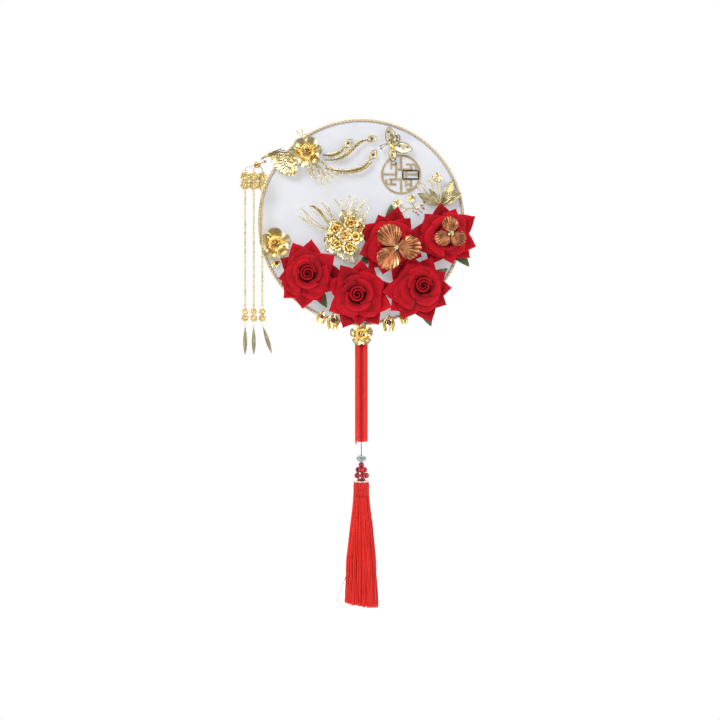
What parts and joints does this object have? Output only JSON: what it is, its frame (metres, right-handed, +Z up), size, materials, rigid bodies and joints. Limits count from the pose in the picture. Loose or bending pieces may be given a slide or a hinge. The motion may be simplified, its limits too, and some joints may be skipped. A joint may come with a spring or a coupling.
{
  "type": "hand fan",
  "caption": "Round bridal hand fan: sheer gauze in a trimmed hoop on a braided handle, with fabric roses, pressed brass ornaments, swinging chain drops and a beaded silk tassel.",
  "frame": {"origin": "on the handle's axis, halfway along the wooden dowel, where the hand holds it", "axes": "+Z up along the handle to the hoop, -Y out of the decorated face, +X to the right as the decorated face is seen"},
  "size_m": [0.2801, 0.0509, 0.5866],
  "materials": {
    "hoop_steel": "drawn flat wire",
    "trim_braid": "twisted metallic-thread braid, pale gold",
    "gauze": "sheer white organza, plain weave",
    "dowel_wood": "plain turned birch",
    "handle_silk": "braided rayon silk, satin",
    "brass": "pressed and gilded, bright",
    "cord_silk": "twisted silk cord, dark red",
    "crystal": "faceted clear crystal",
    "ruby": "faceted red glass, polished",
    "cap_metal": "pressed filigree cap, pale silver",
    "tassel_silk": "loose rayon silk threads, glossy",
    "calyx_green": "moulded, matte",
    "leaf_green": "stiffened satin cloth, veined",
    "velvet_red": "velvet pile, curled edges",
    "velvet_dark": "velvet pile, tightly wound",
    "copper": "enamelled copper gold, veined"
  },
  "bodies": {
    "fan": {"hoop_ring": "hoop_steel", "rim_trim": "trim_braid", "gauze_panel": "gauze", "handle_dowel": "dowel_wood", "handle_braid": "handle_silk", "handle_ferrule": "brass", "handle_blossom": "brass", "beak_hook": "brass", "rose_calyxes": "calyx_green", "rose_1_petals": "velvet_red", "rose_1_heart": "velvet_dark", "rose_2_petals": "velvet_red", "rose_2_heart": "velvet_dark", "rose_3_petals": "velvet_red", "rose_3_heart": "velvet_dark", "rose_4_petals": "velvet_red", "rose_4_heart": "velvet_dark", "rose_5_petals": "velvet_red", "rose_5_heart": "velvet_dark", "green_leaves": "leaf_green", "brass_buds": "brass", "trefoil_left": "copper", "trefoil_right": "copper", "left_blossom": "brass", "centre_blossom": "brass", "centre_spray": "brass", "phoenix_body": "brass", "phoenix_wing": "brass", "phoenix_plumes": "brass", "phoenix_blossom": "brass", "phoenix_spray": "brass", "butterfly": "brass", "medallion": "brass", "orchid": "brass", "plum_twig": "brass"},
    "knot": {"tassel_knot": "cord_silk"},
    "tassel": {"tassel_cord": "cord_silk", "clear_bead": "crystal", "red_bead_top": "ruby", "red_beads_middle": "ruby", "red_beads_lower": "ruby", "bead_cap": "cap_metal", "tassel_head": "tassel_silk"},
    "skirt": {"tassel_skirt": "tassel_silk"},
    "rosette_1": {"drop_1_rosette": "brass"},
    "upper_chain_1": {"drop_1_chain_upper": "brass"},
    "lower_chain_1": {"drop_1_chain_lower": "brass"},
    "charm_1": {"drop_1_charm": "brass"},
    "leaf_1": {"drop_1_leaf": "brass"},
    "rosette_2": {"drop_2_rosette": "brass"},
    "upper_chain_2": {"drop_2_chain_upper": "brass"},
    "lower_chain_2": {"drop_2_chain_lower": "brass"},
    "charm_2": {"drop_2_charm": "brass"},
    "leaf_2": {"drop_2_leaf": "brass"},
    "rosette_3": {"drop_3_rosette": "brass"},
    "upper_chain_3": {"drop_3_chain_upper": "brass"},
    "lower_chain_3": {"drop_3_chain_lower": "brass"},
    "charm_3": {"drop_3_charm": "brass"},
    "leaf_3": {"drop_3_leaf": "brass"}
  },
  "joints": [
    {"name": "tassel_nod", "type": "hinge", "parent": "fan", "child": "knot", "pos_m": [0, 0, -0.07], "axis": [1, 0, 0], "range_deg": [-60, 60]},
    {"name": "tassel_sway", "type": "hinge", "parent": "knot", "child": "tassel", "pos_m": [0, 0, -0.07], "axis": [0, 1, 0], "range_deg": [-60, 60]},
    {"name": "skirt_sway", "type": "hinge", "parent": "tassel", "child": "skirt", "pos_m": [0, 0, -0.14319], "axis": [0, 1, 0], "range_deg": [-20, 20]},
    {"name": "drop_1_sway", "type": "hinge", "parent": "fan", "child": "rosette_1", "pos_m": [-0.13875, -0.02615, 0.25488], "axis": [0, 1, 0], "range_deg": [-5, 30]},
    {"name": "drop_1_nod", "type": "hinge", "parent": "rosette_1", "child": "upper_chain_1", "pos_m": [-0.13875, -0.02615, 0.2305], "axis": [1, 0, 0], "range_deg": [-30, 2]},
    {"name": "chain_1_sway", "type": "hinge", "parent": "upper_chain_1", "child": "lower_chain_1", "pos_m": [-0.13875, -0.02615, 0.15849], "axis": [0, 1, 0], "range_deg": [-8, 15]},
    {"name": "charm_1_nod", "type": "hinge", "parent": "lower_chain_1", "child": "charm_1", "pos_m": [-0.13875, -0.02615, 0.09226], "axis": [1, 0, 0], "range_deg": [-15, 4]},
    {"name": "leaf_1_sway", "type": "hinge", "parent": "charm_1", "child": "leaf_1", "pos_m": [-0.13875, -0.02615, 0.07128], "axis": [0, 1, 0], "range_deg": [-20, 20]},
    {"name": "drop_2_sway", "type": "hinge", "parent": "fan", "child": "rosette_2", "pos_m": [-0.12875, -0.02115, 0.25488], "axis": [0, 1, 0], "range_deg": [-5, 30]},
    {"name": "drop_2_nod", "type": "hinge", "parent": "rosette_2", "child": "upper_chain_2", "pos_m": [-0.12875, -0.02115, 0.2305], "axis": [1, 0, 0], "range_deg": [-30, 2]},
    {"name": "chain_2_sway", "type": "hinge", "parent": "upper_chain_2", "child": "lower_chain_2", "pos_m": [-0.12875, -0.02115, 0.15849], "axis": [0, 1, 0], "range_deg": [-8, 15]},
    {"name": "charm_2_nod", "type": "hinge", "parent": "lower_chain_2", "child": "charm_2", "pos_m": [-0.12875, -0.02115, 0.09226], "axis": [1, 0, 0], "range_deg": [-15, 4]},
    {"name": "leaf_2_sway", "type": "hinge", "parent": "charm_2", "child": "leaf_2", "pos_m": [-0.12875, -0.02115, 0.07128], "axis": [0, 1, 0], "range_deg": [-20, 20]},
    {"name": "drop_3_sway", "type": "hinge", "parent": "fan", "child": "rosette_3", "pos_m": [-0.11875, -0.01615, 0.25488], "axis": [0, 1, 0], "range_deg": [-5, 30]},
    {"name": "drop_3_nod", "type": "hinge", "parent": "rosette_3", "child": "upper_chain_3", "pos_m": [-0.11875, -0.01615, 0.2305], "axis": [1, 0, 0], "range_deg": [-30, 2]},
    {"name": "chain_3_sway", "type": "hinge", "parent": "upper_chain_3", "child": "lower_chain_3", "pos_m": [-0.11875, -0.01615, 0.15849], "axis": [0, 1, 0], "range_deg": [-8, 15]},
    {"name": "charm_3_nod", "type": "hinge", "parent": "lower_chain_3", "child": "charm_3", "pos_m": [-0.11875, -0.01615, 0.09226], "axis": [1, 0, 0], "range_deg": [-15, 4]},
    {"name": "leaf_3_sway", "type": "hinge", "parent": "charm_3", "child": "leaf_3", "pos_m": [-0.11875, -0.01615, 0.07128], "axis": [0, 1, 0], "range_deg": [-6, 30]}
  ]
}
